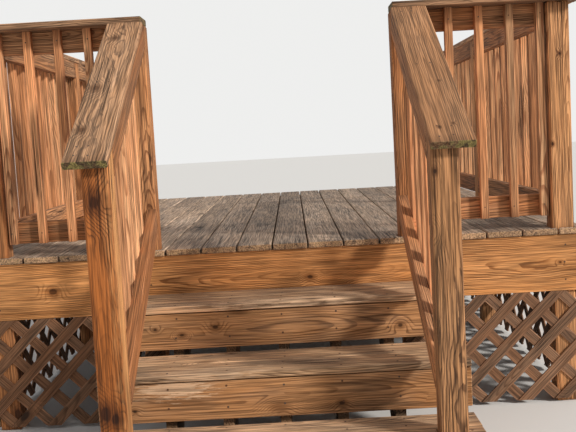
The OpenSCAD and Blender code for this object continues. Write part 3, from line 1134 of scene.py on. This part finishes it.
@dataclass
class Posts:
    """Square posts, cut with a handsaw and rounded at the corners."""

    ease: float = 0.008
    finishes: dict[str, WoodFinish] = field(
        default_factory=lambda: {"left_foot_post": DARK_POST, "right_foot_post": SPLIT_POST})

    def build(self) -> None:
        """Makes all the posts."""
        for side in Side:
            for kind in ("corner_post", "stair_top_post", "mid_post", "rear_post", "foot_post"):
                self._post(side.name_of(kind), kind)

    def _post(self, node: str, kind: str) -> None:
        """Makes one post.

        Args:
            node: The frame node that it stands for.
            kind: Name of the post without its side.
        """
        low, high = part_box(node)
        front_top = high.z
        if kind == "foot_post":
            front_top = Slope().height((high.y, high.z), low.y)
        outline = [(low.y, low.z), (high.y, low.z), (high.y, high.z), (low.y, front_top)]
        if kind in ("corner_post", "stair_top_post"):
            under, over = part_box("front_rim")
            outline += [(low.y, over.z), (over.y, over.z), (over.y, under.z), (low.y, under.z)]
        post = Timber(f"{node}_timber", self.finishes.get(node, POST))
        post.upright(outline, low.x, high.x, math.pi / 2, self.ease)
        post.finish_piece(node)


@dataclass
class Guards:
    """What level and sloping guards share."""

    nail_radius: float = 0.0032
    ease: float = 0.003


@dataclass
class LevelGuards(Guards):
    """Guards on the level deck: two rails between posts, balusters on their outer faces."""

    front_end_gap: float = 0.008
    front_count: int = 5
    side_end_gap: float = 0.074
    side_pitch: float = 0.1293

    def build(self) -> None:
        """Makes the front and the side guards."""
        for side in Side:
            low, high = side.box("front_guard")
            first = low.x + self.front_end_gap
            step = (high.x - first - self.front_end_gap - BALUSTER_W) / (self.front_count - 1)
            sticks = [first + k * step for k in range(self.front_count)]
            self._guard(side.name_of("front_guard"), Run.ACROSS, FORWARD, [(low.x, high.x, sticks)])
            corner, mid, rear = (side.box(post) for post in ("corner_post", "mid_post", "rear_post"))
            bays = [self._bay(corner[1].y, mid[0].y), self._bay(mid[1].y, rear[0].y)]
            self._guard(side.name_of("side_guard"), Run.DEEP, side.out, bays)

    def _bay(self, start: float, end: float) -> Bay:
        """Spaces the balusters of a side guard's bay.

        Args:
            start: Rear face of the post in front of it.
            end: Front face of the post behind it.

        Returns:
            Both ends of the bay, and where each baluster starts.
        """
        first = start + self.side_end_gap
        count = math.floor((end - first - BALUSTER_W) / self.side_pitch) + 1
        return start, end, [first + k * self.side_pitch for k in range(count)]

    def _guard(self, node: str, run: Run, out: Vector, bays: list[Bay]) -> None:
        """Makes one guard.

        Args:
            node: The frame node that it stands for.
            run: Direction of its rails.
            out: Its outward direction.
            bays: Where each bay starts and ends, and where its balusters start.
        """
        low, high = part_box(node)
        panel = Timber(f"{node}_panel", RAIL, BALUSTER)
        nails = Nails(f"{node}_nails", "guards", self.nail_radius)
        across = 1 - run.value
        rail, stick, face = guard_layers(low[across], high[across], out[across])
        if run is Run.ACROSS:
            # Square sticks are turned by their last digits, so these are measured from their outer face
            stick = (low.y, low.y + BALUSTER_W)

        def at(along: float, deep: float, z: float) -> Vector:
            """Returns the point at a place along and through the guard."""
            return Vector((along, deep, z) if run is Run.ACROSS else (deep, along, z))

        for start, end, places in bays:
            for z in (low.z, high.z - RAIL_H):
                panel.board(at(start, rail[0], z), at(end, rail[1], z + RAIL_H), run)
            for place in places:
                panel.board(at(place, stick[0], low.z), at(place + BALUSTER_W, stick[1], high.z), Run.UP,
                            self.ease, BALUSTER)
                for z in (low.z + RAIL_H / 2, high.z - RAIL_H / 2):
                    nails.drive(*at(place + BALUSTER_W / 2, face, z), out)
        panel.finish_piece(node)
        nails.finish_piece()


@dataclass
class StairGuards(Guards):
    """Sloping guards beside the flight."""

    pitch: float = 0.1195
    end_gap: float = 0.102
    trim: float = 0.002

    def build(self) -> None:
        """Makes both stair guards."""
        for side in Side:
            self._guard(side)

    def _guard(self, side: Side) -> None:
        """Makes one stair guard.

        Args:
            side: Side of the flight.
        """
        node = side.name_of("stair_guard")
        slope = Slope()
        low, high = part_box(node)
        foot = side.box("foot_post")[1]
        a, b = foot.y, side.box("stair_top_post")[0].y
        rail, sticks, face = guard_layers(low.x, high.x, side.value)
        rail_rise = RAIL_H / math.cos(slope.angle)

        def over(y: float) -> float:
            """Returns the height of the guard's upper edge."""
            return slope.height((foot.y, foot.z), y)

        def under(y: float) -> float:
            """Returns the height of its lower edge."""
            return slope.height((a, low.z), y)

        level_cap = side.box("front_cap")[0].z
        c = min(b, a + (level_cap - over(a)) * slope.run / slope.rise)
        # The stair balusters take the brighter copy, with sunlight painted into their colour
        panel = Timber(f"{node}_panel", RAIL, PAINTED_SUNLIT_BALUSTER)
        nails = Nails(f"{node}_nails", "guards", self.nail_radius)
        top_rail = [(a, over(a) - rail_rise), (b, over(b) - rail_rise), (b, over(c)), (c, over(c)),
                    (a, over(a))]
        low_rail = [(a, under(a)), (b, under(b)), (b, under(b) + rail_rise), (a, under(a) + rail_rise)]
        for outline in (top_rail, low_rail):
            panel.upright(outline, *rail, slope.angle, self.ease)
        for k in range(math.floor((b - a - self.end_gap - BALUSTER_W) / self.pitch) + 1):
            y1 = b - self.end_gap - k * self.pitch
            y0 = y1 - BALUSTER_W
            stick = [(y0, under(y0) + self.trim), (y1, under(y1) + self.trim),
                     (y1, over(y1) - self.trim), (y0, over(y0) - self.trim)]
            panel.upright(stick, *sticks, math.pi / 2, self.ease, PAINTED_SUNLIT_BALUSTER)
            y = (y0 + y1) / 2
            for z in (under(y) + rail_rise / 2, over(y) - rail_rise / 2):
                nails.drive(face, y, z, side.out)
        panel.finish_piece(node)
        nails.finish_piece()


@dataclass
class Caps:
    """Flat boards on top of the guards."""

    ease: float = 0.005
    nail_radius: float = 0.0036
    nail_shares: tuple[float, ...] = (0.035, 0.09, 0.5, 0.93)
    nail_insets: tuple[float, float] = (0.035, 0.075)
    stair_finishes: dict[Side, WoodFinish] = field(
        default_factory=lambda: {Side.LEFT: CAP, Side.RIGHT: SOUND_CAP})

    def build(self) -> None:
        """Makes all the caps."""
        for side in Side:
            for name, run in (("front_cap", Run.ACROSS), ("side_cap", Run.DEEP)):
                node = side.name_of(name)
                cap = Timber(f"{node}_board", CAP)
                cap.board(*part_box(node), run, self.ease)
                cap.finish_piece(node)
            self._stair_cap(side)

    def _stair_cap(self, side: Side) -> None:
        """Makes the sloping cap, plumb at its head and square at its foot.

        Args:
            side: Side of the flight.
        """
        node = side.name_of("stair_cap")
        slope = Slope()
        low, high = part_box(node)
        along = Vector((0.0, math.cos(slope.angle), math.sin(slope.angle)))
        out = Vector((0.0, -along.z, along.y))
        length = (high.y - low.y) / along.y + BOARD_T
        foot = Vector(((low.x + high.x) / 2, low.y, slope.height((high.y, high.z), low.y)))
        middle = foot + along * length / 2 - out * BOARD_T / 2
        size = Vector((length, high.x - low.x, BOARD_T))
        head_cut = (Vector((0.0, high.y, 0.0)), Vector((0.0, 1.0, 0.0)))
        cap = Timber(f"{node}_board", self.stair_finishes[side])
        cap.turned(size, middle, along, Vector((-1.0, 0.0, 0.0)), self.ease, None, (head_cut,))
        cap.finish_piece(node)
        nails = Nails(f"{node}_nails", "caps", self.nail_radius)
        for share in self.nail_shares:
            point = foot + along * length * share
            for inset in self.nail_insets:
                nails.drive(low.x + inset, point.y, point.z, out)
        nails.finish_piece()


@dataclass
class Flight:
    """Stringers, treads and risers."""

    stringer_h: float = 0.286
    stringer_count: int = 7
    stringer_ease: float = 0.0015
    tread_gap: float = 0.008
    tread_ease: float = 0.005
    notch_clear: float = 0.002
    riser_drop: float = 0.004
    riser_ease: float = 0.0025
    tread_nails: tuple[float, float] = (0.03, 0.11)
    riser_nails: tuple[float, float] = (0.045, 0.025)

    def build(self) -> None:
        """Makes the flight and nails it."""
        self._stringers()
        for n in (1, 2, 3):
            self._tread(n)
        for n in (2, 3, 4):
            riser = Timber(f"riser_{n}_board", RISER)
            low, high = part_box(f"riser_{n}")
            riser.board(low, high - UP * self.riser_drop, Run.ACROSS, self.riser_ease)
            riser.finish_piece(f"riser_{n}")
        self._nails()

    def _lines(self) -> list[float]:
        """Returns the middles of the stringers."""
        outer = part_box("stair_stringers")[1].x - PLANK_T / 2
        return [outer * (2 * k / (self.stringer_count - 1) - 1) for k in range(self.stringer_count)]

    def _stringers(self) -> None:
        """Cuts the stringers."""
        slope = Slope()
        low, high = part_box("stair_stringers")
        seats = [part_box(f"tread_{n}")[0].z for n in (3, 2, 1)]
        outline = [(low.y, low.z)]
        for k, z in enumerate(seats):
            back = high.y if k == 2 else low.y + (k + 1) * slope.run
            outline += [(low.y + k * slope.run, z), (back, z)]
        line = (low.y, seats[0] - self.stringer_h / math.cos(slope.angle))
        toe = low.y + (low.z - line[1]) * slope.run / slope.rise
        outline += [(high.y, slope.height(line, high.y)), (toe, low.z)]
        cut = Timber("stringers", FRAMING)
        for x in self._lines():
            cut.upright(outline, x - PLANK_T / 2, x + PLANK_T / 2, slope.angle, self.stringer_ease)
        cut.finish_piece("stair_stringers")

    def _tread(self, n: int) -> None:
        """Makes the two boards of a tread.

        Args:
            n: Number of the tread, from the deck down.
        """
        low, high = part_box(f"tread_{n}")
        width = (high.y - low.y - self.tread_gap) / 2
        tread = Timber(f"tread_{n}_boards", TREAD)
        if n == 3:
            place = Matrix.Translation((0.0, 0.0, (low.z + high.z) / 2))
            drawn = self._notched(low.x, high.x, low.y, low.y + width)
            tread.plate([drawn], high.z - low.z, place, self.tread_ease)
        else:
            tread.board(low, Vector((high.x, low.y + width, high.z)), Run.ACROSS, self.tread_ease)
        tread.board(Vector((low.x, high.y - width, low.z)), high, Run.ACROSS, self.tread_ease)
        tread.finish_piece(f"tread_{n}")

    def _notched(self, x0: float, x1: float, y0: float, y1: float) -> Loop:
        """Draws the lowest tread's front board, open at its rear edge for the foot posts.

        Args:
            x0: Left end.
            x1: Right end.
            y0: Front edge.
            y1: Rear edge.

        Returns:
            The outline.
        """
        outline = [(x0, y0), (x1, y0), (x1, y1)]
        for side in (Side.RIGHT, Side.LEFT):
            low, high = side.box("foot_post")
            a, b, c = low.x - self.notch_clear, high.x + self.notch_clear, low.y - self.notch_clear
            outline += [(b, y1), (b, c), (a, c), (a, y1)]
        return [*outline, (x0, y1)]

    def _nails(self) -> None:
        """Nails the treads and risers to the stringers."""
        nails = Nails("flight_nails", "treads")
        near, far = self.tread_nails
        for n in (1, 2, 3):
            low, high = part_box(f"tread_{n}")
            for x in self._lines():
                for y in (low.y + near, low.y + far, high.y - far, high.y - near):
                    nails.drive(x, y, high.z, UP)
        lower, upper = self.riser_nails
        for n in (2, 3, 4):
            low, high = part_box(f"riser_{n}")
            for x in self._lines():
                for z in (low.z + lower, high.z - upper):
                    nails.drive(x, low.y, z, FORWARD)
        nails.finish_piece()


@dataclass
class LatticeSkirts:
    """Crossed slats under the rims, against the outer faces of the posts."""

    slat_w: float = 0.043
    slat_t: float = 0.006
    pitch: float = 0.108
    shift: float = 0.047
    ease: float = 0.0008
    sliver: float = 0.012

    def build(self) -> None:
        """Makes the skirts of both sides."""
        back = -FORWARD
        for side in Side:
            for name, shift, inward in (("front_lattice", side.out, back), ("side_lattice", back, -side.out)):
                node = side.name_of(name)
                skirt = Timber(f"{node}_slats", SLAT)
                self._panel(skirt, *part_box(node), shift * self.shift, inward)
                skirt.finish_piece(node)

    def _panel(self, skirt: Timber, low: Vector, high: Vector, shift: Vector, inward: Vector) -> None:
        """Fills a box with two layers of slats, cut off at its edges.

        Args:
            skirt: The piece that takes the slats.
            low: Lowest corner of the panel.
            high: Its highest corner.
            shift: Way from the panel's middle to a crossing of the slats.
            inward: Direction from the outer layer to the inner one.
        """
        axis = Vector((abs(inward.y), abs(inward.x), 0.0))
        middle = (low + high) / 2
        size = high - low
        depth, width, height = abs(size.dot(inward)), size.dot(axis), size.z
        cuts = ((low, -axis), (high, axis), (low, -UP), (high, UP))
        reach = (width + height) / math.sqrt(2.0)
        slat = Vector((2 * reach, self.slat_w, self.slat_t))
        count = math.ceil((reach / 2 + self.shift) / self.pitch)
        for layer, tilt in ((-1.0, 1.0), (1.0, -1.0)):
            long = (UP + tilt * axis).normalized()
            step = (axis - tilt * UP).normalized()
            wide = step if long.cross(step).dot(inward) * tilt > 0 else -step
            offset = inward * layer * (depth - self.slat_t) / 2 + shift
            span = abs(step.dot(axis)) * width / 2 + abs(step.z) * height / 2 + self.slat_w / 2 - self.sliver
            for k in range(-count, count + 1):
                centre = middle + offset + step * k * self.pitch
                if abs((centre - middle).dot(step)) < span:
                    skirt.turned(slat, centre, long, wide, self.ease, None, cuts)


@dataclass
class Studio:
    """Pale floor, soft light and the camera."""

    floor_half: float = 40.0
    floor_colour: Colour = (0.74, 0.73, 0.71)
    fill_colour: Colour = (0.97, 0.98, 1.0)
    fill_strength: float = 0.45
    backdrop_colour: Colour = (0.86, 0.86, 0.85)
    key_colour: Colour = (1.0, 0.96, 0.90)
    key_strength: float = 3.2
    key_angle_deg: float = 8.0
    key_toward: Triple = (-1.10, 0.72, -0.75)
    focal_px: float = 863.2
    image_w: int = 576
    pitch_deg: float = 5.356
    yaw_deg: float = -0.463
    roll_deg: float = -3.226
    eye: Triple = (0.070, -3.5045, 1.170)
    sensor: float = 36.0

    def build(self) -> None:
        """Makes the floor, the world, the key light and the camera."""
        self._floor()
        self._world()
        self._key()
        self._camera()

    def _floor(self) -> None:
        """Makes a wide pale floor."""
        mesh = bpy.data.meshes.new("floor")
        grid = bmesh.new()
        bmesh.ops.create_grid(grid, x_segments=1, y_segments=1, size=self.floor_half)
        grid.to_mesh(mesh)
        grid.free()
        material = bpy.data.materials.new("pale_floor")
        Sketch(material).surface({"Base Color": (*self.floor_colour, 1.0), "Roughness": 0.9})
        mesh.materials.append(material)
        floor = bpy.data.objects.new("floor", mesh)
        bpy.context.scene.collection.objects.link(floor)

    def _world(self) -> None:
        """Lights the scene evenly and shows a pale backdrop."""
        world = bpy.data.worlds.new("studio")
        s = Sketch(world)
        path = s.node("ShaderNodeLightPath", {})
        seen = s.math("MAXIMUM", *(Wire(s, path.outputs[f"Is {kind} Ray"]) for kind in ("Camera", "Glossy")))
        fill, backdrop = (s.wire("ShaderNodeBackground", {"Color": (*colour, 1.0), "Strength": strength})
                          for colour, strength in ((self.fill_colour, self.fill_strength),
                                                   (self.backdrop_colour, 1.0)))
        both = s.wire("ShaderNodeMixShader", {0: seen, 1: fill, 2: backdrop})
        s.node("ShaderNodeOutputWorld", {"Surface": both})
        bpy.context.scene.world = world

    def _key(self) -> None:
        """Adds a broad key light from the right front."""
        key = bpy.data.lights.new("key", "SUN")
        key.energy = self.key_strength
        key.angle = math.radians(self.key_angle_deg)
        key.color = self.key_colour
        lamp = bpy.data.objects.new("key", key)
        lamp.rotation_euler = Vector(self.key_toward).to_track_quat("-Z", "Y").to_euler()
        bpy.context.scene.collection.objects.link(lamp)

    def _camera(self) -> None:
        """Places the camera at the photograph's viewing angle."""
        yaw, pitch, roll = (math.radians(a) for a in (self.yaw_deg, self.pitch_deg, self.roll_deg))
        ahead = Vector((math.sin(yaw) * math.cos(pitch), math.cos(yaw) * math.cos(pitch), -math.sin(pitch)))
        level = Vector((math.cos(yaw), -math.sin(yaw), 0.0))
        plumb = level.cross(ahead)
        right = math.cos(roll) * level + math.sin(roll) * plumb
        up = -math.sin(roll) * level + math.cos(roll) * plumb
        camera = bpy.data.cameras.new("camera")
        camera.sensor_width = self.sensor
        camera.lens = self.focal_px / self.image_w * self.sensor
        camera.clip_end = 200.0
        seat = bpy.data.objects.new("camera", camera)
        turn = Matrix((right, up, -ahead)).transposed().to_4x4()
        turn.translation = Vector(self.eye) + Vector((0.0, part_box("deck_boards_front")[0].y, 0.0))
        seat.matrix_world = turn
        bpy.context.scene.collection.objects.link(seat)
        bpy.context.scene.camera = seat


def main() -> None:
    """Builds the dressed deck stairs and the studio."""
    logging.basicConfig(level=logging.INFO, format="%(message)s")
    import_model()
    bpy.context.scene.view_settings.view_transform = "Standard"
    for assembly in (Framing(), Decking(), Posts(), LevelGuards(), StairGuards(), Caps(), Flight(),
                     LatticeSkirts(), Studio()):
        LOG.info("building %s", type(assembly).__name__)
        assembly.build()


if __name__ == "__main__":
    main()
